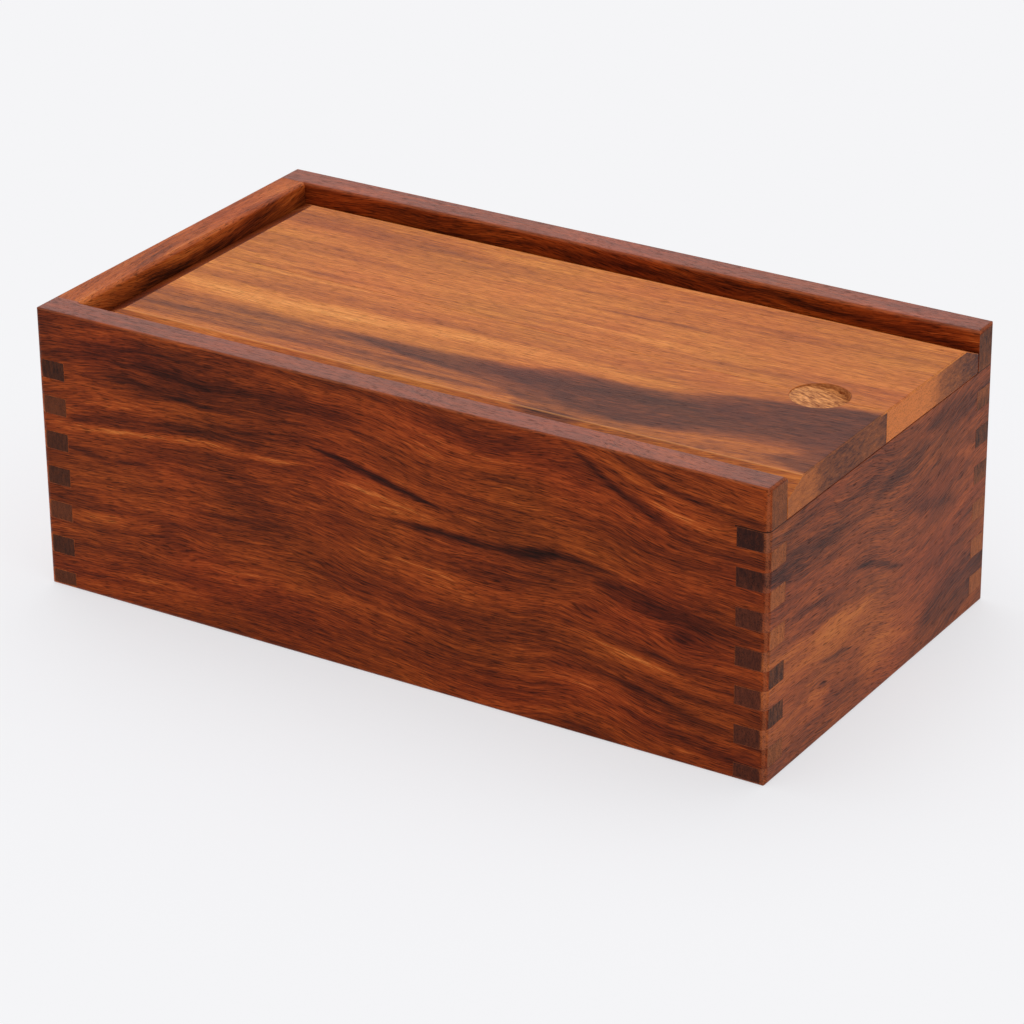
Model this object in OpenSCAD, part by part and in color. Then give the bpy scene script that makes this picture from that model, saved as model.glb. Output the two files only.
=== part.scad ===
// Sliding-lid box. Four finger-jointed boards stand round a bottom panel that is let into a
// rebate. A raised-field lid of two edge-glued boards slides on a rib along the front board and
// one along the back board, and its tongue goes into the tall end board when it is shut.
// Sizes are in millimetres. X runs along the box, towards the low end where the lid comes out,
// Y runs to the back and Z is up. The origin is the middle of the underside.

/* [Box] */
// Length over the two ends
box_l = 262; // [220:1:320]
// Width over the front and back boards
box_w = 144; // [110:1:190]
// Height of the front, back and tall end boards
box_h = 96; // [80:1:130]

/* [Boards] */
// Thickness of the front and back boards
side_t = 10.5; // [9:0.5:14]
// Thickness of the two end boards
end_t = 10.5; // [9:0.5:14]
// Thickness of the bottom panel
bottom_t = 5; // [3:0.5:8]
// How far the bottom panel reaches under each board
rebate_w = 5; // [3:0.5:6]

/* [Finger joints] */
// Height of one finger of an end board
finger_h = 6.35; // [5:0.05:7]
// Spacing of the fingers at the low end, counted down from the board's top edge
low_pitch = 12.7; // [10:0.1:16]
// Spacing of the fingers at the tall end
tall_pitch = 12.2; // [10:0.1:16]
// Distance from the tall end's top edge down to its first finger
tall_finger_drop = 17; // [12:0.5:24]

/* [Lid] */
// Thickness of the lid at its raised field
lid_t = 10.4; // [9:0.1:13]
// How far the raised field lies below the top edges of the box
lid_sink = 3.3; // [2:0.1:8]
// Width of the bevel round the raised field
bevel_w = 9; // [4:0.5:14]
// Height that the bevel falls across its width
bevel_drop = 4; // [1:0.1:4.5]
// Thickness of the tongue at the lid's tall end
tongue_t = 3.5; // [2.5:0.5:5]
// How far the tongue reaches into the tall end board
tongue_reach = 4.5; // [3:0.5:6]
// Height of the rib on the front and on the back board
rib_h = 2.4; // [1.6:0.1:3]
// How far a rib reaches into the groove in the lid's edge
rib_reach = 4; // [2.5:0.5:5]
// Distance from the low end to the end of a rib
rib_stop = 14; // [12:1:40]
// Small flat that breaks the lid's sharp top edges
arris = 0.4; // [0.2:0.1:0.8]

/* [Finger notch] */
// Diameter of the notch
notch_d = 18.4; // [14:0.2:24]
// Distance from the lid's open end to the middle of the notch
notch_inset = 22.5; // [16:0.5:60]
// Depth of the notch on the side that the fingertip pushes against
notch_depth = 3.2; // [2:0.1:4]
// Depth of the notch on its shallow side
notch_lip = 0.3; // [0.1:0.1:0.8]

/* [Eased edges] */
// Radius of the four upright corners
corner_r = 2.2; // [1:0.1:4]
// Radius of the outer top edges
top_r = 1.4; // [0.5:0.1:3]
// Radius of the edges round the underside
foot_r = 1.4; // [0.5:0.1:2.5]
// Radius of the inner top edges
rim_r = 1.4; // [0.5:0.1:2.5]

/* [Clearances] */
// Gap above and below a rib or the tongue in its groove
slide_gap = 0.3; // [0.2:0.05:0.5]
// Gap beside the lid, and at the tips of the ribs and of the tongue
side_gap = 0.4; // [0.2:0.05:0.8]

/* [Hidden] */
$fn = 96;

// Cuts run this far past the faces that they open
over = 1;
// A last finger thinner than this isn't cut
least_finger = 2;

// Faces of the box and of its inside
half_l = box_l / 2;
half_w = box_w / 2;
inner_x = half_l - end_t;
inner_y = half_w - side_t;

// Levels of the lid, from the top of the low end upwards
lid_top = box_h - lid_sink;
lid_z = lid_top - lid_t;
low_end_h = lid_z - slide_gap;
bevel_z = lid_top - bevel_drop;
// A rib stands at the middle of the lid's upright edge
rib_z = (lid_z + bevel_z - rib_h) / 2;

// Plan of the lid: it stands clear of the boards, and its tongue fits between the two ribs
lid_y = inner_y - side_gap;
lid_x = inner_x - side_gap;
rib_x = half_l - rib_stop;
rib_y = inner_y - rib_reach;
tongue_y = rib_y - side_gap;
tongue_x = inner_x + tongue_reach;

// Tilt of the notch's floor, and its depth at the middle
notch_tilt = atan((notch_depth - notch_lip) / notch_d);
notch_mid = (notch_depth + notch_lip) / 2;
notch_x = half_l - notch_inset;

// Top levels of an end board's fingers, from the first one down to the underside
function finger_tops(first, pitch) = [for (z = first; z > least_finger; z = z - pitch) z];
low_fingers = finger_tops(low_end_h, low_pitch);
tall_fingers = finger_tops(box_h - tall_finger_drop, tall_pitch);

// Colours of the woods
dark_wood = "#6b3420";
end_wood = "#7d4228";
lid_wood = "#b26a36";
panel_wood = "#86502f";

// Extrudes an outline drawn in X and Z along the whole width
module across(width) {
    rotate([90, 0, 0])
        linear_extrude(height = width, center = true)
            children();
}

// Extrudes an outline drawn in Y and Z along the whole length
module along(length) {
    rotate([90, 0, 90])
        linear_extrude(height = length, center = true)
            children();
}

// Waste outside a quarter round, for a corner at the origin of a shape on its lower left
module nib(r) {
    difference() {
        translate([-r, -r]) square(r + over);
        translate([-r, -r]) circle(r);
    }
}

// Upright rectangle that stands on the ground, with eased top and bottom corners
module eased_face(width) {
    difference() {
        translate([-width / 2, 0]) square([width, box_h]);
        for (side = [0, 1]) mirror([side, 0]) {
            translate([width / 2, box_h]) nib(top_r);
            translate([width / 2, 0]) mirror([0, 1]) nib(foot_r);
        }
    }
}

// Plan of the box with its eased upright corners
module eased_plan() {
    difference() {
        square([box_l, box_w], center = true);
        for (x = [0, 1], y = [0, 1])
            mirror([x, 0]) mirror([0, y])
                translate([half_l, half_w]) nib(corner_r);
    }
}

// Outer form of the whole box, with every outside edge eased
module outer_form() {
    intersection() {
        linear_extrude(height = box_h) eased_plan();
        across(box_w + 2 * over) eased_face(box_l);
        along(box_l + 2 * over) eased_face(box_w);
    }
}

// Upper rim of an opening, from one inner face to the other, flared by a quarter round
module flared_mouth(from, to, flare_from, flare_to) {
    difference() {
        translate([from - flare_from, box_h - rim_r])
            square([to - from + flare_from + flare_to, rim_r + over]);
        if (flare_from > 0) translate([from - flare_from, box_h - rim_r]) circle(rim_r);
        if (flare_to > 0) translate([to + flare_to, box_h - rim_r]) circle(rim_r);
    }
}

// Waste that eases the inner top edges; it is mitred where two boards meet
module rim_waste() {
    intersection() {
        across(box_w) flared_mouth(-inner_x, half_l + over, rim_r, 0);
        along(box_l + 4 * over) flared_mouth(-inner_y, inner_y, rim_r, rim_r);
    }
}

// Slot in the tall end board for the lid's tongue
module tongue_slot() {
    translate([-tongue_x - side_gap, -rib_y, lid_z - slide_gap])
        cube([tongue_reach + side_gap + over, 2 * rib_y, tongue_t + 2 * slide_gap]);
}

// Seat of the bottom panel, cut into the lower inside edge of all four boards
module bottom_seat() {
    seat_x = inner_x + rebate_w;
    seat_y = inner_y + rebate_w;
    translate([-seat_x, -seat_y, -over])
        cube([2 * seat_x, 2 * seat_y, bottom_t + over]);
}

// Fingers of an end board, which run right through the front and back boards
module fingers(tops, x0) {
    for (top = tops) {
        low = max(top - finger_h, 0);
        translate([x0, -half_w, low]) cube([end_t, box_w, top - low]);
    }
}

// Rib that holds the lid down, from the tall end board to a little short of the low end
module rib() {
    translate([-inner_x, -inner_y - over, rib_z])
        cube([rib_x + inner_x, rib_reach + over, rib_h]);
}

// Front or back board: it runs the whole length and takes the fingers at both ends
module side_board() {
    difference() {
        intersection() {
            translate([-half_l, -half_w, 0]) cube([box_l, side_t, box_h]);
            outer_form();
        }
        fingers(low_fingers, inner_x);
        fingers(tall_fingers, -half_l);
        rim_waste();
        bottom_seat();
    }
    rib();
}

// End board: a core between the side boards, with the fingers at its two edges
module end_board(tops, height, x0) {
    difference() {
        intersection() {
            union() {
                translate([x0, -inner_y, 0]) cube([end_t, 2 * inner_y, height]);
                fingers(tops, x0);
            }
            outer_form();
        }
        bottom_seat();
    }
}

module front_board() {
    color(dark_wood) side_board();
}

module back_board() {
    color(dark_wood) mirror([0, 1, 0]) side_board();
}

module tall_end_board() {
    color(end_wood) difference() {
        end_board(tall_fingers, box_h, -half_l);
        rim_waste();
        tongue_slot();
    }
}

module low_end_board() {
    color(end_wood) end_board(low_fingers, low_end_h, inner_x);
}

module bottom_panel() {
    panel_x = inner_x + rebate_w;
    panel_y = inner_y + rebate_w;
    color(panel_wood)
        translate([-panel_x, -panel_y, 0]) cube([2 * panel_x, 2 * panel_y, bottom_t]);
}

// Section across the lid: upright edges, bevels and raised field
module lid_section() {
    polygon([
        [-lid_y, lid_z], [lid_y, lid_z], [lid_y, bevel_z], [lid_y - bevel_w, lid_top],
        [bevel_w - lid_y, lid_top], [-lid_y, bevel_z]
    ]);
}

// Section along the lid: a bevel at the tall end, and a plain end at the low one
module lid_profile() {
    polygon([
        [-lid_x, lid_z], [half_l, lid_z], [half_l, lid_top - arris], [half_l - arris, lid_top],
        [bevel_w - lid_x, lid_top], [-lid_x, bevel_z]
    ]);
}

// Tongue that the tall end board holds down
module tongue() {
    translate([-tongue_x, -tongue_y, lid_z])
        cube([tongue_x - lid_x + over, 2 * tongue_y, tongue_t]);
}

// Groove in the lid's front edge for a rib; it stops short of the open end, so it doesn't show
module edge_groove() {
    translate([-lid_x - over, -inner_y, rib_z - slide_gap])
        cube([lid_x + over + rib_x + side_gap, rib_reach + side_gap, rib_h + 2 * slide_gap]);
}

// Fingertip notch: a flat-bottomed bore tilted so that its floor falls towards the open end
module notch() {
    translate([notch_x, 0, lid_top])
        rotate([0, notch_tilt, 0])
            translate([0, 0, -notch_mid])
                cylinder(d = notch_d, h = notch_mid + notch_depth + over);
}

// The lid as one panel; the section and the profile meet in mitred bevels
module lid_panel() {
    difference() {
        intersection() {
            along(box_l + 2 * over) lid_section();
            across(box_w) lid_profile();
        }
        notch();
    }
    tongue();
}

// The half of the lid that lies in front of the glue line, with the groove in its edge
module lid_half() {
    difference() {
        intersection() {
            lid_panel();
            translate([-half_l, -half_w, 0]) cube([box_l, half_w, box_h]);
        }
        edge_groove();
    }
}

module lid_front_board() {
    color(lid_wood) lid_half();
}

module lid_back_board() {
    color(lid_wood) mirror([0, 1, 0]) lid_half();
}

front_board();
back_board();
tall_end_board();
low_end_board();
bottom_panel();
lid_front_board();
lid_back_board();
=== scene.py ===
import bpy
import math
from mathutils import Matrix, Vector

# Sliding-lid box in oiled rosewood. The box and its patterns are in millimetres; the floor, the lamps and
# the camera are in metres
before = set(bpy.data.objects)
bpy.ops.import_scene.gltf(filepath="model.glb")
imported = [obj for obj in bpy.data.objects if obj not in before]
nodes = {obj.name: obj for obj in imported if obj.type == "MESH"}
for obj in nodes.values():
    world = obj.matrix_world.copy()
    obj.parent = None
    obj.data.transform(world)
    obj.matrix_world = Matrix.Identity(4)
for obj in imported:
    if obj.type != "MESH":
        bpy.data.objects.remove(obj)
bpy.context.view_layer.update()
print("frame loaded:", ", ".join(sorted(nodes)))


def linearColour(code):
    # sRGB hex to linear light: v / 12.92 below 0.04045, else ((v + 0.055) / 1.055) to the power 2.4
    parts = [int(code[i:i + 2], 16) / 255 for i in (1, 3, 5)]
    return tuple(v / 12.92 if v <= 0.04045 else ((v + 0.055) / 1.055) ** 2.4 for v in parts) + (1.0,)


def addNode(tree, kind, inputs=(), **settings):
    # adds a node with its settings, and fills its inputs with numbers, colours or other nodes
    node = tree.nodes.new("ShaderNode" + kind)
    for name, value in settings.items():
        setattr(node, name, value)
    for slot, value in (inputs.items() if isinstance(inputs, dict) else enumerate(inputs)):
        if isinstance(value, bpy.types.Node):
            value = value.outputs[0]
        if isinstance(value, bpy.types.NodeSocket):
            tree.links.new(value, node.inputs[slot])
        elif value is not None:
            node.inputs[slot].default_value = value
    return node


# how far a given line may go to either side of 0: along the board, across it, in the bend of the
# grain, and in a streak's half width
boardReach = 140
acrossReach = 160
bendReach = 60
streakReach = 20

# what all the boards share. Pores and fibres are drawn a little coarser than real ones so that they show
grainLook = {
    "wanderDepth": 60, "figureDepth": 14, "depthPerWidth": 4,
    "knotSquash": 0.6, "knotReach": 1.6, "knotPull": 0.7, "knotCore": (0.1, 0.7),
    "poreLong": 4, "poreWide": 0.33, "poreShare": (0.53, 0.68), "poreRough": 0.12,
    "fibreLong": 8, "fibreWide": 0.3, "fibreLift": 0.35, "fibreRough": 0.14,
    "huePatchLong": 55, "huePatchWide": 24, "huePatchShare": (0.3, 0.7),
    "ringStretch": (0.01, 0.34, 1.1), "ringContrast": 1.1,
    "reliefStrength": 0.3, "reliefMetres": 0.00014, "filmIndex": 1.47,
}

# which way a face looks, as a share of its normal: where each effect begins and where it is complete
faceTurns = {
    "paintedSheenTop": (0.8, 1.0), "endGrain": (0.93, 0.998), "rubbedHighlitEdge": (0.94, 0.78),
    "bevelSlope": (0.985, 0.955), "upwards": (0.72, 0.8), "crossSlope": (-0.1, -0.3), "notchWall": (0.7, 0.3),
}


def wanderingGrain(tree, look, board):
    # how far the grain strays sideways: slow swings, and a little quiver on top of them. Here and below,
    # the seed takes each board to another place in the noise
    wander = 0.0
    for long, wide, swing in look["wander"]:
        stretch = (1 / long, 1 / wide, 1 / grainLook["wanderDepth"])
        spot = addNode(tree, "Mapping", [board, (look["seed"], 0, 0), None, stretch])
        noise = addNode(tree, "TexNoise", {"Vector": spot, "Scale": 1.0, "Detail": 1.5})
        push = addNode(tree, "Math", [noise, 0.5], operation="SUBTRACT")
        wander = addNode(tree, "Math", [push, swing, wander], operation="MULTIPLY_ADD")
    return wander


def drawnLines(tree, look, along, across):
    # listed lines: the bend of the grain, the tone of the end grain, then each streak's middle and
    # half width
    alongUnit = addNode(tree, "MapRange", [along, -boardReach, boardReach])
    acrossUnit = addNode(tree, "MapRange", [across, -boardReach, boardReach])
    lines = [(alongUnit, look["bend"], -bendReach, bendReach), (acrossUnit, look["endTone"], 0, 1)]
    for streak in look["streaks"]:
        lines.append((alongUnit, [(a, c) for a, c, h in streak["path"]], -acrossReach, acrossReach))
        lines.append((alongUnit, [(a, h) for a, c, h in streak["path"]], -streakReach, streakReach))
    drawn = []
    for position, points, low, high in lines:
        curve = addNode(tree, "FloatCurve", [1.0, position])
        placed = [((a + boardReach) / (2 * boardReach), (v - low) / (high - low)) for a, v in points]
        curve.mapping.curves[0].points[0].location = placed[0]
        curve.mapping.curves[0].points[1].location = placed[-1]
        for spot in placed[1:-1]:
            curve.mapping.curves[0].points.new(*spot)
        curve.mapping.extend = "HORIZONTAL"
        curve.mapping.update()
        drawn.append(addNode(tree, "MapRange", [curve, 0, 1, low, high]))
    return drawn


def knottedGrain(tree, look, along, shifted, level):
    # small knots spread the lines that pass them and are dark in their middle; each has its place along
    # and across the board, its size and its darkness
    tone = look["tone"]
    squash = grainLook["knotSquash"]
    for knotAlong, knotAcross, size, dark in look["knots"]:
        offAlong = addNode(tree, "MapRange", [along, knotAlong - size, knotAlong + size, -squash, squash],
                           clamp=False)
        offAcross = addNode(tree, "MapRange", [shifted, knotAcross - size, knotAcross + size, -1.0, 1.0],
                            clamp=False)
        off = addNode(tree, "CombineXYZ", [offAlong, offAcross])
        away = addNode(tree, "VectorMath", [off], operation="LENGTH").outputs["Value"]
        near = addNode(tree, "MapRange", [away, grainLook["knotReach"], 0.0, 0.0, grainLook["knotPull"]],
                       interpolation_type="SMOOTHSTEP")
        pull = addNode(tree, "Math", [offAcross, near], operation="MULTIPLY")
        level = addNode(tree, "Math", [pull, -size, level], operation="MULTIPLY_ADD")
        core = addNode(tree, "MapRange", [away, *grainLook["knotCore"], -dark, 0.0],
                       interpolation_type="SMOOTHSTEP")
        tone = addNode(tree, "Math", [tone, core], operation="ADD")
    return level, tone


def figuredTone(tree, look, flow, tone):
    # the figure: noise drawn out along the grain, from broad clouds down to lines and fibres
    for long, wide, detail, weight in look["figure"]:
        deep = grainLook["figureDepth"] + grainLook["depthPerWidth"] * wide
        offset = (look["seed"] * 3.1 + wide, 0, 0)
        spot = addNode(tree, "Mapping", [flow, offset, None, (1 / long, 1 / wide, 1 / deep)])
        noise = addNode(tree, "TexNoise", {"Vector": spot, "Scale": 1.0, "Detail": detail, "Roughness": 0.6})
        lift = addNode(tree, "Math", [noise, 0.5], operation="SUBTRACT")
        tone = addNode(tree, "Math", [lift, weight, tone], operation="MULTIPLY_ADD")
    return tone


def streakedTone(tree, look, shifted, streakLines, tone):
    # the streaks that this board shows; each has points of (along, centre across, half width), and shifts
    # the tone, or draws it towards one value so that the figure inside it is calmer
    for streak, centre, half in zip(look["streaks"], streakLines[::2], streakLines[1::2]):
        off = addNode(tree, "Math", [shifted, centre], operation="SUBTRACT")
        away = addNode(tree, "Math", [off], operation="ABSOLUTE")
        inside = addNode(tree, "Math", [half, away], operation="SUBTRACT")
        soft = streak["soft"]
        mask = addNode(tree, "MapRange", [inside, -soft / 2, soft / 2, 0, streak["shift"]],
                       interpolation_type="SMOOTHSTEP")
        if "towards" in streak:
            tone = addNode(tree, "Mix", {0: mask, 2: tone, 3: streak["towards"]})
        else:
            tone = addNode(tree, "Math", [tone, mask], operation="ADD")
    return tone


def endGrained(tree, look, board, alongSize, endLine, surface):
    # end grain drinks more oil; its tone across the board is listed, with the ring lines on top
    endGrain = addNode(tree, "MapRange", [alongSize, *faceTurns["endGrain"]], interpolation_type="SMOOTHSTEP")
    turn = (look["ringTurn"], 0, 0)
    ringSpot = addNode(tree, "Mapping", [board, (0, look["seed"], 0), turn, grainLook["ringStretch"]])
    ring = addNode(tree, "TexNoise", {"Vector": ringSpot, "Scale": 1.0, "Detail": 4.0, "Roughness": 0.7})
    ringLift = addNode(tree, "Math", [ring, 0.5], operation="SUBTRACT")
    endTone = addNode(tree, "Math", [ringLift, grainLook["ringContrast"], endLine], operation="MULTIPLY_ADD")
    endColours = addNode(tree, "ValToRGB", [endTone])
    for stop, code in zip(endColours.color_ramp.elements, look["endColours"]):
        stop.color = linearColour(code)
    return addNode(tree, "Mix", {0: endGrain, 6: surface, 7: endColours}, data_type="RGBA").outputs[2]


def gluedHairlines(tree, look, xyz, surface):
    # hairlines of old glue and dust at the joints, as flat slots: middle x and z, half length, half height
    for midX, midZ, halfX, halfZ in look["hairlines"]:
        offX = addNode(tree, "Math", [xyz[0], midX], operation="SUBTRACT")
        offX = addNode(tree, "Math", [offX], operation="ABSOLUTE")
        offZ = addNode(tree, "Math", [xyz[2], midZ], operation="SUBTRACT")
        offZ = addNode(tree, "Math", [offZ], operation="ABSOLUTE")
        inX = addNode(tree, "MapRange", [offX, halfX, halfX + 0.1, 1.0, 0.0])
        inZ = addNode(tree, "MapRange", [offZ, halfZ * 0.4, halfZ, 0.9, 0.0])
        line = addNode(tree, "Math", [inX, inZ], operation="MULTIPLY")
        surface = addNode(tree, "Mix", {0: line, 6: surface, 7: linearColour(look["hairlineColour"])},
                          data_type="RGBA").outputs[2]
    return surface


def bevelledField(tree, bevel, xyz, facing, surface):
    # the bevel is drawn darker: partly the cut through the figure, partly painted shade on the slope.
    # Where it crosses the grain at the tall end it is darkest: partly end grain, partly the painted shadow
    # of the gap beside the raised field
    leaning = addNode(tree, "MapRange", [facing[2], *faceTurns["bevelSlope"]])
    upwards = addNode(tree, "MapRange", [facing[2], *faceTurns["upwards"]])
    slope = addNode(tree, "Math", [leaning, upwards], operation="MULTIPLY")
    surface = addNode(tree, "HueSaturation", [
        bevel["hue"], bevel["saturation"], bevel["value"], slope, surface])
    crossCut = addNode(tree, "MapRange", [facing[0], *faceTurns["crossSlope"]])
    crossSlope = addNode(tree, "Math", [slope, crossCut], operation="MULTIPLY")
    surface = addNode(tree, "Mix", {0: crossSlope, 6: surface, 7: linearColour(bevel["crossGrainShade"])},
                      data_type="RGBA", blend_type="MULTIPLY").outputs[2]
    # painted highlight: a bright line along the sanded edge of the raised field
    fromMiddle = addNode(tree, "Math", [xyz[1]], operation="ABSOLUTE")
    offEdge = addNode(tree, "Math", [fromMiddle, bevel["fieldEdge"]], operation="SUBTRACT")
    offEdge = addNode(tree, "Math", [offEdge], operation="ABSOLUTE")
    arrisHighlight = addNode(tree, "MapRange", [offEdge, *bevel["edgeHalf"], bevel["arrisHighlight"], 0.0])
    arrisHighlightTop = addNode(tree, "Math", [arrisHighlight, upwards], operation="MULTIPLY")
    return addNode(tree, "Mix", {0: arrisHighlightTop, 6: surface, 7: linearColour(bevel["arrisHighlightColour"])},
                   data_type="RGBA").outputs[2]


def fingertipNotch(tree, notch, place, xyz, facing, surface, relief):
    # bare wood inside the notch, torn along the grain, with a darker wall
    outX = addNode(tree, "Math", [xyz[0], notch["x"]], operation="SUBTRACT")
    spread = addNode(tree, "CombineXYZ", [outX, xyz[1]])
    radius = addNode(tree, "VectorMath", [spread], operation="LENGTH").outputs["Value"]
    rimFrom, rimTo = [notch["radius"] + margin for margin in notch["rim"]]
    lipFrom, lipTo = [notch["top"] - depth for depth in notch["lip"]]
    within = addNode(tree, "MapRange", [radius, rimFrom, rimTo, 1, 0])
    below = addNode(tree, "MapRange", [xyz[2], lipFrom, lipTo, 1, 0])
    mask = addNode(tree, "Math", [within, below], operation="MULTIPLY")
    gritStretch = (1 / notch["gritLong"], 1 / notch["gritWide"], 1 / notch["gritWide"])
    gritSpot = addNode(tree, "Mapping", [place, None, None, gritStretch])
    grit = addNode(tree, "TexNoise", {"Vector": gritSpot, "Scale": 1.0, "Detail": 4.0, "Roughness": 0.7})
    bare = addNode(tree, "ValToRGB", [grit])
    for stop, position, shade in zip(bare.color_ramp.elements, notch["gritShare"], ("dark", "pale")):
        stop.position = position
        stop.color = linearColour(notch[shade])
    wall = addNode(tree, "MapRange", [facing[2], *faceTurns["notchWall"], 0.0, notch["wall"]])
    inside = addNode(tree, "Mix", {0: wall, 6: bare, 7: linearColour(notch["dark"])}, data_type="RGBA")
    surface = addNode(tree, "Mix", {0: mask, 6: surface, 7: inside.outputs[2]}, data_type="RGBA").outputs[2]
    torn = addNode(tree, "Math", [mask, grit], operation="MULTIPLY")
    relief = addNode(tree, "Math", [torn, notch["tornDepth"], relief], operation="MULTIPLY_ADD")
    return surface, relief


def rosewood(name, look):
    # Indian rosewood, planed, sanded and oiled. The eye sees dark and orange figure that flows with the
    # growth rings, open pores as fine dark dashes, end grain darkened by the oil, paler edges that are partly
    # rubbed and partly a painted highlight, and a thin satin film whose haze on flat tops is a painted sheen
    material = bpy.data.materials.new(name)
    material.use_nodes = True
    tree = material.node_tree
    tree.nodes.clear()
    coord = addNode(tree, "TexCoord")
    place = addNode(tree, "VectorMath", {0: coord.outputs["Object"], "Scale": 1000.0}, operation="SCALE")
    xyz = addNode(tree, "SeparateXYZ", [place]).outputs
    facing = addNode(tree, "SeparateXYZ", [coord.outputs["Normal"]]).outputs
    sizes = [addNode(tree, "Math", [share], operation="ABSOLUTE") for share in facing]
    grainAxes = ["XYZ".index(letter) for letter in look["grain"]]
    along, across, through = [xyz[axis] for axis in grainAxes]
    board = addNode(tree, "CombineXYZ", [along, across, through])
    bend, endLine, *streakLines = drawnLines(tree, look, along, across)

    # level of the wood in the tree: straight across the board, less the bend of its own grain
    wander = wanderingGrain(tree, look, board)
    shifted = addNode(tree, "Math", [across, wander], operation="ADD")
    bent = addNode(tree, "Math", [shifted, bend], operation="SUBTRACT")
    level = addNode(tree, "Math", [through, look["lean"], bent], operation="MULTIPLY_ADD")
    level, tone = knottedGrain(tree, look, along, shifted, level)
    flow = addNode(tree, "CombineXYZ", [along, level, through])
    tone = figuredTone(tree, look, flow, tone)
    tone = streakedTone(tree, look, shifted, streakLines, tone)

    # open pores and fine fibres
    poreStretch = (1 / grainLook["poreLong"], 1 / grainLook["poreWide"], 1 / grainLook["poreWide"])
    poreSpot = addNode(tree, "Mapping", [flow, (look["seed"], 0, 0), None, poreStretch])
    pore = addNode(tree, "TexNoise", {"Vector": poreSpot, "Scale": 1.0, "Detail": 1.0})
    poreMask = addNode(tree, "MapRange", [pore, *grainLook["poreShare"]], interpolation_type="SMOOTHSTEP")
    fibreStretch = (1 / grainLook["fibreLong"], 1 / grainLook["fibreWide"], 1 / grainLook["fibreWide"])
    fibreSpot = addNode(tree, "Mapping", [flow, (look["seed"], 5, 0), None, fibreStretch])
    fibre = addNode(tree, "TexNoise", {"Vector": fibreSpot, "Scale": 1.0, "Detail": 2.0, "Roughness": 0.65})
    fibreLift = addNode(tree, "Math", [fibre, 0.5], operation="SUBTRACT")
    tone = addNode(tree, "Math", [fibreLift, look["fibre"], tone], operation="MULTIPLY_ADD")

    # the tone picks the colour, from nearly black to pale
    colours = addNode(tree, "ValToRGB", [tone])
    stops = colours.color_ramp.elements
    stops[0].color = linearColour(look["colours"][0])
    stops[1].color = linearColour(look["colours"][-1])
    for i, code in enumerate(look["colours"][1:-1], 1):
        stops.new(i / (len(look["colours"]) - 1)).color = linearColour(code)

    # slow drift of hue between red and yellow brown, in patches
    patchWide = grainLook["huePatchWide"]
    patchStretch = (1 / grainLook["huePatchLong"], 1 / patchWide, 1 / patchWide)
    patchSpot = addNode(tree, "Mapping", [board, (look["seed"] + 40, 0, 0), None, patchStretch])
    patches = addNode(tree, "TexNoise", {"Vector": patchSpot, "Scale": 1.0, "Detail": 1.0})
    drift = look["hueDrift"]
    hue = addNode(tree, "MapRange", [patches, *grainLook["huePatchShare"], 0.5 - drift, 0.5 + drift])
    surface = addNode(tree, "HueSaturation", [hue, 1.0, 1.0, 1.0, colours])

    # painted sheen: flat tops are drawn paler and hazier, mixed towards a colour that stands in for the
    # film's reflection of the light
    paintedSheenTop = addNode(tree, "MapRange", [facing[2], *faceTurns["paintedSheenTop"], 0.0, look["paintedTopSheen"]],
                      interpolation_type="SMOOTHSTEP")
    surface = addNode(tree, "Mix", {0: paintedSheenTop, 6: surface, 7: linearColour(look["paintedSheenColour"])},
                      data_type="RGBA").outputs[2]
    surface = endGrained(tree, look, board, sizes[grainAxes[0]], endLine, surface)

    # edges are drawn paler in patches where the surface turns between two faces: partly rubbed wear,
    # partly a painted highlight on the rounded arrises
    biggest = sizes[0]
    for size in sizes[1:]:
        biggest = addNode(tree, "Math", [biggest, size], operation="MAXIMUM")
    rubbedAndHighlit = addNode(tree, "MapRange", [biggest, *faceTurns["rubbedHighlitEdge"], 0.0, look["rubbedAndHighlit"]],
                     interpolation_type="SMOOTHSTEP")
    rubbedHighlightPatchy = addNode(tree, "Math", [rubbedAndHighlit, patches], operation="MULTIPLY")
    surface = addNode(tree, "Mix", {0: rubbedHighlightPatchy, 6: surface, 7: linearColour(look["rubbedHighlightColour"])},
                      data_type="RGBA").outputs[2]

    # pores are darker, and pores and fibres also make the relief and the roughness
    darker = addNode(tree, "MapRange", [poreMask, 0, 1, 1.0, look["poreDark"]])
    surface = addNode(tree, "VectorMath", {0: surface, "Scale": darker}, operation="SCALE")
    lifted = addNode(tree, "Math", [fibre, grainLook["fibreLift"]], operation="MULTIPLY")
    relief = addNode(tree, "Math", [lifted, poreMask], operation="SUBTRACT")
    rough = addNode(tree, "Math", [fibre, grainLook["fibreRough"], look["rough"]], operation="MULTIPLY_ADD")
    rough = addNode(tree, "Math", [poreMask, grainLook["poreRough"], rough], operation="MULTIPLY_ADD")

    if "hairlines" in look:
        surface = gluedHairlines(tree, look, xyz, surface)
    if "bevel" in look:
        surface = bevelledField(tree, look["bevel"], xyz, facing, surface)
    if "notch" in look:
        surface, relief = fingertipNotch(tree, look["notch"], place, xyz, facing, surface, relief)

    bump = addNode(tree, "Bump", {
        "Strength": grainLook["reliefStrength"], "Distance": grainLook["reliefMetres"], "Height": relief})
    shader = addNode(tree, "BsdfPrincipled", {
        "Base Color": surface, "Roughness": rough, "Normal": bump, "IOR": grainLook["filmIndex"],
        "Specular IOR Level": look["gloss"]})
    addNode(tree, "OutputMaterial", {"Surface": shader})
    return material


arrisLook = {"width": 0.14, "segments": 2, "weldWithin": 0.01, "flatDegrees": 0.4, "sharpDegrees": 35}


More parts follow.
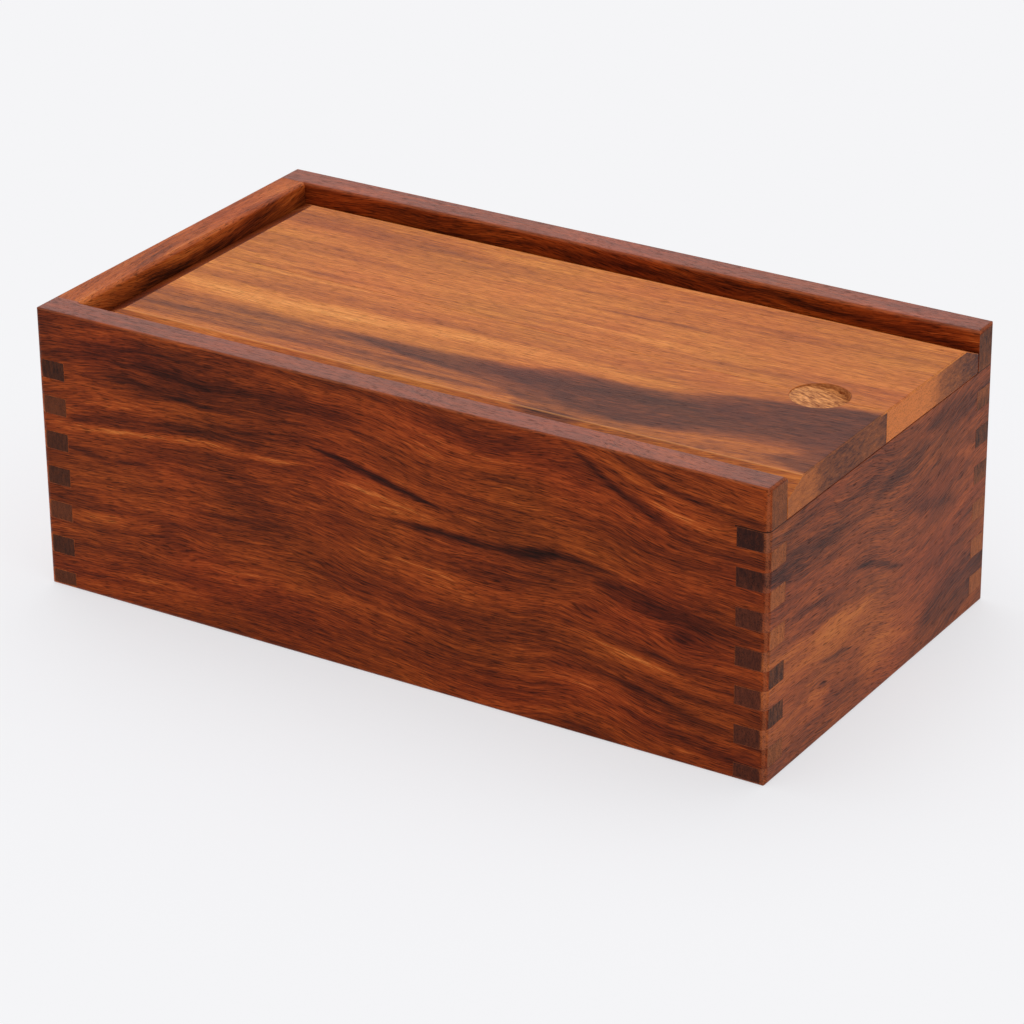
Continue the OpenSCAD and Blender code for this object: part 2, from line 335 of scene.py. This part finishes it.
def easedArris(node):
    # welds the loose triangles, joins flat ones, then takes the sharp edges off by a hair
    weld = node.modifiers.new("weld", "WELD")
    weld.merge_threshold = arrisLook["weldWithin"] / 1000
    flats = node.modifiers.new("flats", "DECIMATE")
    flats.decimate_type = "DISSOLVE"
    flats.angle_limit = math.radians(arrisLook["flatDegrees"])
    bevel = node.modifiers.new("arris", "BEVEL")
    bevel.width = arrisLook["width"] / 1000
    bevel.segments = arrisLook["segments"]
    bevel.limit_method = "ANGLE"
    bevel.angle_limit = math.radians(arrisLook["sharpDegrees"])


print("tools ready")

# front board: the darkest wood, with thin near-black lines over red brown and a few orange ones
frontLook = {
    "grain": "XZY", "seed": 3.7, "tone": 0.575, "lean": 1.1, "fibre": 0.9, "hueDrift": 0.003,
    "wander": [(60, 26, 7), (26, 8, 2.4), (9, 2.4, 0.4)],
    "bend": [(-140, -6), (-100, -2), (-60, 0), (-30, 1), (0, -2), (25, -5), (45, -5), (60, -4), (75, -5),
             (90, -8), (110, -10), (140, -12)],
    "figure": [(60, 13, 3, 0.72), (40, 3.2, 4, 0.62), (50, 1.2, 3, 0.46), (5, 0.5, 2, 0.30)],
    "colours": ["#230b06", "#3e1509", "#60240d", "#853611", "#a94b1a", "#d07434"],
    "streaks": [
        {"shift": -0.19, "soft": 3, "path": [
            (-125, 60, -2), (-110, 63, 1.6), (-85, 66, 2.2), (-60, 68.5, 2), (-38, 71, 1.6), (-28, 72, 1.2),
            (-15, 69.5, 1.4), (0, 66, 1.6), (14, 63, 1.2), (26, 60.5, -2)]},
        {"shift": -0.30, "soft": 1.2, "path": [
            (-34, 72.5, -1), (-22, 70.8, 0.6), (-8, 67.8, 0.9), (6, 65, 0.9), (16, 62.5, 0.5), (24, 61, -1)]},
        {"shift": 0.28, "soft": 1.8, "path": [
            (-122, 57, -1.5), (-105, 60, 0.6), (-85, 62.6, 1), (-60, 64, 1.2), (-35, 65, 0.8),
            (-22, 66, -1)]},
        {"shift": 0.17, "soft": 4, "path": [
            (-30, 62, -3), (-15, 61.5, 2), (5, 59.5, 2.4), (25, 57.5, 1), (36, 57, -3)]},
        {"shift": -0.34, "soft": 1.8, "path": [
            (-12, 57, -1.5), (5, 55.5, 0.6), (25, 54.5, 0.9), (45, 55.5, 1.2), (62, 58.5, 1.3),
            (75, 57.5, 0.8), (92, 54, -1.5)]},
        {"shift": -0.16, "soft": 2.2, "path": [
            (-125, 76, -1), (-100, 78, 0.6), (-60, 76.5, 0.8), (-30, 78, 0.7), (0, 80, -1.5)]},
        {"shift": -0.27, "soft": 2.8, "path": [
            (58, 96, -1), (72, 88, 0.8), (84, 82, 1), (98, 77, 1.2), (114, 73.5, 1.2), (134, 72, 0.8)]},
        {"shift": -0.25, "soft": 2.4, "path": [
            (74, 97, -1), (88, 90.5, 0.7), (104, 87, 0.8), (134, 84, 0.6)]},
        {"shift": 0.20, "soft": 2.4, "path": [(78, 88, -1.5), (96, 82, 1.2), (114, 79, 1.4), (134, 77, 1)]},
        {"shift": -0.20, "soft": 7, "path": [
            (68, 52, -5), (88, 50, 3), (104, 47, 4.5), (122, 46, 3), (134, 48, 1)]},
        {"shift": -0.23, "soft": 3.4, "path": [
            (42, 18, -2), (60, 21.5, 0.8), (76, 22, 1.2), (92, 19.5, 1.3), (110, 15, 1.2), (134, 10, 0.8)]},
        {"shift": -0.22, "soft": 3, "path": [(58, 12, -2), (80, 12.5, 1), (100, 9, 1.5), (134, 4, 1.5)]},
        {"shift": 0.16, "soft": 4, "path": [(66, 28, -3), (86, 30, 2), (104, 27, 2), (124, 24, -3)]},
        {"shift": 0.22, "soft": 2.4, "path": [
            (-124, 29, -2), (-108, 29, 1.2), (-92, 30, 1.2), (-80, 32, -2)]},
        {"shift": -0.20, "soft": 2.4, "path": [
            (-134, 53, 0.4), (-118, 51.5, 1), (-104, 49, 1.4), (-92, 50.5, 1), (-76, 46, -2)]},
        {"shift": -0.16, "soft": 3.5, "path": [
            (-68, 57, -2), (-55, 56.5, 1.6), (-42, 54, 1.4), (-28, 53, -2)]},
        {"shift": -0.17, "soft": 10, "path": [(-140, 85, 8), (-80, 84, 8), (-40, 85, 6), (20, 88, -8)]},
    ],
    "knots": [(71, 43, 5, 0.18), (103, 41, 6, 0.22), (-80, 26, 7, 0.12)],
    "endTone": [(-140, 0.5), (4, 0.52), (12, 0.46), (19, 0.14), (24, 0.14), (28, 0.4), (32, 0.16),
                (37, 0.16), (41, 0.75), (58, 0.66), (74, 0.56), (86, 0.42), (96, 0.44), (140, 0.3)],
    "endColours": ["#2f140c", "#b0602f"], "ringTurn": 0.7,
    # painted sheen on the flat top; the paler edges are partly wear and partly painted highlight
    "paintedTopSheen": 0.2, "paintedSheenColour": "#d4aaa0", "rubbedAndHighlit": 0.7, "rubbedHighlightColour": "#a85e3a",
    "hairlines": [(131, 82.1, 11, 0.40)], "hairlineColour": "#1c0c07",
    "poreDark": 0.42, "rough": 0.36, "gloss": 0.08,
}

# back board: the same wood, with fewer streaks and no knots
backLook = dict(
    frontLook, seed=11.3, tone=0.57, knots=[], bend=[(-140, -3), (-40, 4), (50, -5), (140, 3)],
    endTone=[(-140, 0.6), (10, 0.66), (22, 0.66), (34, 0.6), (41, 0.4), (47, 0.3), (60, 0.12), (72, 0.34),
             (78, 0.5), (86, 0.22), (140, 0.22)],
    streaks=[
        {"shift": -0.22, "soft": 3, "path": [(-140, 30, 1), (-40, 42, 3), (60, 36, 2), (140, 44, 1)]},
        {"shift": -0.18, "soft": 3, "path": [(-100, 70, -2), (0, 64, 2.5), (100, 74, -2)]},
        {"shift": 0.18, "soft": 2, "path": [(-140, 52, 0.6), (-10, 55, 1.4), (120, 58, -1)]},
        {"shift": -0.20, "soft": 2, "path": [(-110, 92, -1), (-20, 90.5, 1), (60, 92, 1.2), (134, 89, 0.6)]},
        {"shift": -0.14, "soft": 8, "path": [(-60, 14, -4), (10, 12, 5), (90, 18, 3), (134, 16, -2)]},
    ])

# end boards: the same wood, redder and hazier, the haze partly real gloss and partly painted sheen,
# with a slow wave across
lowEndLook = {
    "grain": "YZX", "seed": 21.4, "tone": 0.515, "lean": 0.4, "fibre": 0.9, "hueDrift": 0.003,
    "wander": [(50, 26, 6), (22, 8, 2.4), (7, 2.6, 0.7)],
    "bend": [(-140, 6), (-60, 3), (-30, 1), (-10, -1), (10, -5), (30, -4), (50, 1), (72, 5), (140, 12)],
    "figure": [(46, 12, 3, 0.42), (26, 3.2, 4, 0.42), (30, 1.2, 3, 0.30), (5, 0.5, 2, 0.2)],
    "colours": ["#28120d", "#452016", "#6b331d", "#914724", "#ab5829", "#bd6830"],
    "streaks": [
        {"shift": -0.20, "soft": 5, "path": [
            (-70, 66, 2.5), (-50, 66.5, 4), (-36, 66, 3), (-20, 65, 1.4), (-4, 63, -2)]},
        {"shift": -0.19, "soft": 4.5, "path": [
            (-20, 64, -2), (-4, 67, 1), (8, 69.5, 3), (20, 70, 3), (30, 71, 1), (40, 73, -2)]},
        {"shift": -0.17, "soft": 6, "path": [(24, 78, -3), (40, 75, 3), (54, 74, 4), (70, 74, 3)]},
        {"shift": -0.14, "soft": 2.2, "path": [
            (-72, 78, -1), (-45, 77, 0.6), (-20, 74, 0.8), (0, 76, 0.4), (22, 78, -1.5)]},
        {"shift": -0.20, "soft": 2.2, "path": [
            (-60, 50, -1.5), (-50, 49, 1), (-42, 47.5, 0.6), (-32, 47, -1.5)]},
        {"shift": -0.24, "soft": 2.2, "path": [
            (-24, 48, -1.5), (-12, 46.5, 0.8), (0, 42, 1.2), (9, 37.5, 0.8), (18, 35, -1.5)]},
        {"shift": 0.14, "soft": 3, "path": [(-46, 53, -2), (-34, 54, 1.4), (-18, 52.5, 1.2), (-4, 51, -2)]},
        {"shift": -0.05, "soft": 16, "path": [(-72, 68, 12), (0, 70, 14), (72, 66, 16)]},
        {"shift": 0.10, "soft": 16, "path": [(-72, 22, 14), (-30, 20, 16), (0, 16, 14), (30, 14, -6)]},
        {"shift": 0.24, "soft": 4, "path": [
            (-72, 40, 1.5), (-48, 38, 2.6), (-30, 36, 3), (-14, 34, 2), (4, 33, -2)]},
        {"shift": 0.22, "soft": 8, "path": [
            (-72, 30, 1), (-50, 31, 3), (-34, 32, 4.5), (-18, 32, 3), (4, 28, -4)]},
        {"shift": -0.27, "soft": 2, "path": [(-42, 27, -1), (-34, 26, 0.7), (-26, 24.5, 0.8), (-16, 22, -1)]},
        {"shift": 0.18, "soft": 4, "path": [(-47, 16, -3), (-40, 16, 3), (-36, 15, 2), (-30, 14, -3)]},
        {"shift": -0.14, "soft": 5, "path": [(-38, 9, -3), (-28, 11, 3), (-20, 10, 3), (-8, 8, -3)]},
        {"shift": -0.18, "soft": 9, "path": [(20, 10, -5), (40, 12, 6), (56, 14, 8), (72, 16, 8)]},
        {"shift": -0.13, "soft": 5, "path": [(14, 55, -3), (26, 52, 2), (38, 48, 3), (52, 44, -3)]},
        {"shift": 0.15, "soft": 4, "path": [(38, 62, -3), (54, 58, 2), (64, 54, 2), (74, 52, 1)]},
        {"shift": 0.13, "soft": 5, "path": [(-14, 14, -3), (0, 15, 4), (10, 13, 3), (20, 10, -4)]},
    ],
    "knots": [(-37, 18, 3, 0.25)],
    "endTone": [(-140, 0.3), (3, 0.34), (15, 0.34), (28, 0.42), (41, 0.28), (54, 0.34), (66, 0.16),
                (79, 0.04), (140, 0.1)],
    "endColours": ["#30130c", "#7a3a22"], "ringTurn": 0.5,
    # painted sheen on the flat tops; the paler edges are partly wear and partly painted highlight
    "paintedTopSheen": 0.2, "paintedSheenColour": "#96594a", "rubbedAndHighlit": 0.5, "rubbedHighlightColour": "#a8664a",
    "poreDark": 0.46, "rough": 0.38, "gloss": 0.10,
}
tallEndLook = dict(
    # a weaker painted sheen on the flat top
    lowEndLook, seed=33.9, tone=0.63, lean=1.5, knots=[], paintedTopSheen=0.1, paintedSheenColour="#c4805a",
    wander=[(60, 26, 5), (26, 9, 1.4), (7, 2.6, 0.5)],
    bend=[(-140, 8), (-70, 4), (-35, -2), (0, -4), (35, -1), (72, 4), (140, 8)],
    figure=[(40, 7, 3, 1.1), (34, 3.2, 3, 0.8), (28, 1.3, 2, 0.36), (5, 0.5, 2, 0.2)],
    colours=["#2a0f07", "#4e1d0b", "#7e3413", "#a34a1b", "#ba5c26", "#ce7436"],
    endColours=["#24100a", "#743a1e"],
    endTone=[(-140, 0.6), (3, 0.6), (15, 0.32), (27, 0.7), (39, 0.36), (51, 0.34), (63, 0.66), (76, 0.24),
             (140, 0.4)],
    streaks=[
        {"shift": -0.16, "soft": 4, "path": [(-66, 78, 2), (-30, 84, 2.5), (10, 90, 2), (60, 92, 2)]},
        # dark band along the board at the height of the lid: part of the figure, and painted shade on the
        # inner wall just above the lid
        {"shift": -0.20, "soft": 5, "path": [
            (-72, 86, 2), (-40, 88, 4), (0, 88, 5), (40, 89, 4), (72, 88, 5)]},
    ])

# lid: two paler boards; the front one has the broad mauve-brown streak
notchLook = {
    "x": 108.5, "radius": 9.2, "top": 92.7, "rim": (0.1, 0.35), "lip": (0.22, 0.06),
    "dark": "#7c3a17", "pale": "#e69c5c", "wall": 0.45,
    "gritLong": 2.6, "gritWide": 0.8, "gritShare": (0.36, 0.64), "tornDepth": 3.0,
}
bevelLook = {
    # the bevel's darker colour carries painted shade, and its cross-grain colour also the painted shadow of
    # the gap at the tall end
    "hue": 0.497, "saturation": 1.02, "value": 0.88, "crossGrainShade": "#a08270",
    # painted highlight along the edge of the raised field
    "fieldEdge": 52.1, "edgeHalf": (0.15, 0.5), "arrisHighlight": 0.45, "arrisHighlightColour": "#dc9050",
}
lidFrontLook = {
    "grain": "XYZ", "seed": 41.2, "tone": 0.65, "lean": 0.3, "fibre": 0.8, "hueDrift": 0.004,
    "wander": [(110, 40, 4), (34, 9, 1.6), (9, 2.4, 0.8)],
    "bend": [(-140, 0), (0, 0), (50, 1), (80, 5), (110, 10), (140, 14)],
    "figure": [(150, 12, 3, 0.40), (60, 3.4, 4, 0.48), (46, 1.1, 3, 0.34), (6, 0.5, 2, 0.22)],
    "colours": ["#2c1410", "#552a1e", "#874728", "#b4622b", "#d47f38", "#ec9f56"],
    "streaks": [
        {"shift": 0.56, "towards": 0.20, "soft": 4, "path": [
            (-55, -32, -2), (-20, -34, 3.6), (0, -34, 5.6), (20, -34.5, 8), (40, -35.5, 14), (55, -36, 14),
            (70, -33, 14), (90, -27, 15.5), (110, -22.5, 16.5), (136, -19.5, 18.5)]},
        {"shift": -0.18, "soft": 8, "path": [
            (-50, -32, -7), (-10, -33, -1), (14, -33, 3), (40, -34, 9), (60, -35, 13), (75, -33, 12),
            (90, -27, 12), (110, -21, 13), (136, -18, 17)]},
        {"shift": -0.17, "soft": 7, "path": [
            (-134, -40, 9), (-60, -40, 9), (-10, -42, 8), (20, -45, 4), (50, -48, -4)]},
        {"shift": -0.20, "soft": 6, "path": [(108, -46, -4), (122, -44, 4), (136, -42, 9)]},
        {"shift": -0.26, "soft": 4, "path": [(30, -50, -2), (44, -53, 3), (52, -53, 1.8), (64, -50, -2)]},
        {"shift": -0.08, "soft": 2, "path": [
            (-120, -34, 1.2), (-90, -34.5, 1.6), (-60, -35, 1.4), (-30, -36, -1)]},
        {"shift": -0.08, "soft": 3, "path": [
            (-120, -41, 1.5), (-85, -41.5, 2), (-55, -43, 1.2), (-20, -42, 0.8), (12, -44, -1)]},
        {"shift": -0.07, "soft": 2.4, "path": [
            (-120, -47, 1), (-80, -47.5, 1.4), (-30, -47, 1.2), (20, -48, 1), (44, -48, -1)]},
        {"shift": 0.22, "soft": 6, "path": [
            (-120, -22, 2), (-80, -22, 5), (-50, -20, 5), (-20, -17, 3), (20, -16, 2.5), (50, -16, 1),
            (74, -15, -3)]},
        {"shift": -0.10, "soft": 6, "path": [
            (56, -54, -4), (72, -50.5, 4), (90, -48, 6), (110, -46, 7), (124, -44, 7), (134, -42, 7)]},
    ],
    "knots": [(97, -51, 3, 0.12)],
    "endTone": [(-140, 0.5), (-58, 0.55), (-46, 0.5), (-36, 0.14), (-20, 0.15), (-8, 0.24), (0, 0.16),
                (140, 0.3)],
    "endColours": ["#46190b", "#cc7230"], "ringTurn": 0.9,
    # the lid has no painted sheen; its paler edges are partly wear and partly painted highlight
    "paintedTopSheen": 0.0, "paintedSheenColour": "#96594a", "rubbedAndHighlit": 0.4, "rubbedHighlightColour": "#c98552",
    "poreDark": 0.62, "rough": 0.37, "gloss": 0.13, "notch": notchLook, "bevel": bevelLook,
}
lidBackLook = dict(
    lidFrontLook, seed=57.6, tone=0.66, knots=[], bend=[(-140, 0), (0, 0), (60, 1), (140, 4)],
    endTone=[(-140, 0.6), (0, 0.96), (20, 0.98), (36, 0.42), (48, 0.22), (57, 0.10), (62, 0.05), (140, 0.2)],
    streaks=[
        {"shift": -0.17, "soft": 2, "path": [
            (-92, 4, -1), (-80, 3.5, 0.7), (-70, 3.5, 1.3), (-60, 4, 0.6), (-40, 5, 0.5), (-18, 6, -1)]},
        {"shift": -0.20, "soft": 1.6, "path": [
            (6, 23.5, -0.8), (25, 24.5, 0.6), (45, 25.5, 0.7), (68, 26, -0.8)]},
        {"shift": -0.11, "soft": 9, "path": [(-120, 44, 4), (-90, 40, 7), (-60, 40, 6), (-26, 44, -6)]},
        {"shift": -0.08, "soft": 2, "path": [(-120, 24, 1), (-95, 24, 1.2), (-70, 23.5, 0.6), (-52, 23, -1)]},
        {"shift": -0.07, "soft": 6, "path": [(56, 33, -3), (80, 33, 3), (100, 32, 2), (118, 31, -3)]},
    ])

# bottom panel: the same wood left matt, seen only from below and inside
panelLook = dict(lidBackLook, seed=71.1, tone=0.50, gloss=0.03, rough=0.6)
panelLook.pop("notch")
panelLook.pop("bevel")

boards = {
    "front_board": ("oiledRosewoodFrontBoard", frontLook),
    "back_board": ("oiledRosewoodBackBoard", backLook),
    "tall_end_board": ("oiledRosewoodTallEnd", tallEndLook),
    "low_end_board": ("oiledRosewoodLowEnd", lowEndLook),
    "bottom_panel": ("sandedRosewoodPanel", panelLook),
    "lid_front_board": ("oiledRosewoodLidFront", lidFrontLook),
    "lid_back_board": ("oiledRosewoodLidBack", lidBackLook),
}
for nodeName, (materialName, look) in boards.items():
    board = nodes[nodeName]
    material = rosewood(materialName, look)
    for slotIndex in range(len(board.material_slots)):
        board.material_slots[slotIndex].material = material
    easedArris(board)
    print("board finished:", nodeName)


def seenByCamera(tree):
    # 1 for what the camera sees, straight, mirrored or through glass, and 0 for what only gives light
    rays = addNode(tree, "LightPath").outputs
    seen = addNode(tree, "Math", [rays["Is Camera Ray"], rays["Is Glossy Ray"]], operation="MAXIMUM")
    return addNode(tree, "Math", [seen, rays["Is Transmission Ray"]], operation="MAXIMUM")


# plain floor, in metres, 0.1 mm above the box's own underside so that the two never flicker seen from
# below; away from the box the camera sees the even studio tone, and near it the real shadow
floorLook = {"size": 8.0, "level": 0.0001, "lit": "#f3f3f5", "studio": "#f5f5f7", "shadowFrom": 0.12,
             "shadowTo": 0.30, "nearGlow": 0.62}
bpy.ops.mesh.primitive_grid_add(x_subdivisions=2, y_subdivisions=2, size=floorLook["size"],
                                location=(0, 0, floorLook["level"]))
floor = bpy.context.object
floor.name = "studioFloor"
floorMaterial = bpy.data.materials.new("paintedStudioFloor")
floorMaterial.use_nodes = True
tree = floorMaterial.node_tree
tree.nodes.clear()
where = addNode(tree, "TexCoord").outputs["Object"]
fromBox = addNode(tree, "VectorMath", [where], operation="LENGTH").outputs["Value"]
farOff = addNode(tree, "MapRange", [
    fromBox, floorLook["shadowFrom"], floorLook["shadowTo"], floorLook["nearGlow"], 1.0],
    interpolation_type="SMOOTHSTEP")
share = addNode(tree, "Math", [farOff, seenByCamera(tree)], operation="MULTIPLY")
matt = addNode(tree, "BsdfDiffuse", [linearColour(floorLook["lit"])])
glow = addNode(tree, "Emission", [linearColour(floorLook["studio"]), 1.0])
blend = addNode(tree, "MixShader", [share, matt, glow])
addNode(tree, "OutputMaterial", [blend])
floor.data.materials.append(floorMaterial)
print("floor ready")

# even studio light, in metres: a white surround and two large soft boxes aimed at a point in the box
surroundLook = {"strength": 0.78, "studio": "#f5f5f7"}
lampAim = Vector((0, 0, 0.04))
lamps = {
    "overheadSoftbox": {"place": (-0.5, 0.35, 1.9), "size": 1.9, "watts": 15},
    "sideSoftbox": {"place": (1.9, -0.5, 0.9), "size": 1.4, "watts": 6},
}
world = bpy.data.worlds.new("studioSurround")
bpy.context.scene.world = world
world.use_nodes = True
tree = world.node_tree
tree.nodes.clear()
strength = addNode(tree, "MapRange", [seenByCamera(tree), 0, 1, surroundLook["strength"], 1.0])
air = addNode(tree, "Background", [linearColour(surroundLook["studio"]), strength])
addNode(tree, "OutputWorld", [air])
for lampName, look in lamps.items():
    data = bpy.data.lights.new(lampName, "AREA")
    data.shape = "SQUARE"
    data.size = look["size"]
    data.energy = look["watts"]
    lamp = bpy.data.objects.new(lampName, data)
    bpy.context.scene.collection.objects.link(lamp)
    lamp.location = look["place"]
    lamp.rotation_euler = (lampAim - lamp.location).to_track_quat("-Z", "Y").to_euler()
print("light ready")

# camera where the photo was taken from, in degrees and metres, with the lens and its film in millimetres
cameraLook = {"azimuth": 32.301, "elevation": 25.344, "roll": -0.552, "distance": 1.288704, "lens": 143.62,
              "film": 36, "nearest": 0.05, "aimHeight": 0.048, "slideRight": -0.000255, "slideUp": -0.018229}
azimuth, elevation, roll = [math.radians(cameraLook[k]) for k in ("azimuth", "elevation", "roll")]
flat = math.cos(elevation)
back = Vector((math.sin(azimuth) * flat, -math.cos(azimuth) * flat, math.sin(elevation)))
right = Vector((math.cos(azimuth), math.sin(azimuth), 0))
up = back.cross(right)
across = right * math.cos(roll) + up * math.sin(roll)
upright = up * math.cos(roll) - right * math.sin(roll)
place = Vector((0, 0, cameraLook["aimHeight"]))
place += across * cameraLook["slideRight"]
place += upright * cameraLook["slideUp"]
place += back * cameraLook["distance"]
lens = bpy.data.cameras.new("studioCamera")
lens.sensor_width = cameraLook["film"]
lens.lens = cameraLook["lens"]
lens.clip_start = cameraLook["nearest"]
camera = bpy.data.objects.new("studioCamera", lens)
bpy.context.scene.collection.objects.link(camera)
camera.matrix_world = Matrix.Translation(place) @ Matrix((across, upright, back)).transposed().to_4x4()
bpy.context.scene.camera = camera
bpy.context.scene.view_settings.view_transform = "Standard"
print("camera ready")
